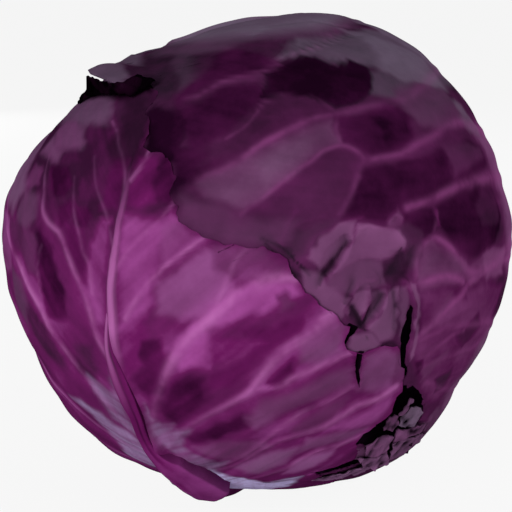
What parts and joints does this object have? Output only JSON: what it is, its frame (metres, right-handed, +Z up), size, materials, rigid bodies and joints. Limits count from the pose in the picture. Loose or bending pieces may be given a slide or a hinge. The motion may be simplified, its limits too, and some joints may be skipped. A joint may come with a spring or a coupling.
{
  "type": "red cabbage head",
  "caption": "A round head of red cabbage with ribbed wrapper leaves folded over a tight inner head, standing on its cut stalk.",
  "frame": {"origin": "on the surface that the head stands on, at the middle of the cut face of the stalk", "axes": "+Z up through the crown, -Y towards the front, where the outermost leaf's margin runs, +X to the right seen from the front"},
  "size_m": [0.1723, 0.1718, 0.1643],
  "materials": {
    "outer_leaf": null,
    "dark_leaf": null,
    "inner_leaf": null,
    "stalk": null
  },
  "bodies": {
    "root": {"leaf_front": "outer_leaf", "leaf_right": "dark_leaf", "leaf_back": "outer_leaf", "leaf_under_front": "inner_leaf", "leaf_under_back": "inner_leaf", "inner_head": "inner_leaf", "stem": "stalk"}
  },
  "joints": []
}
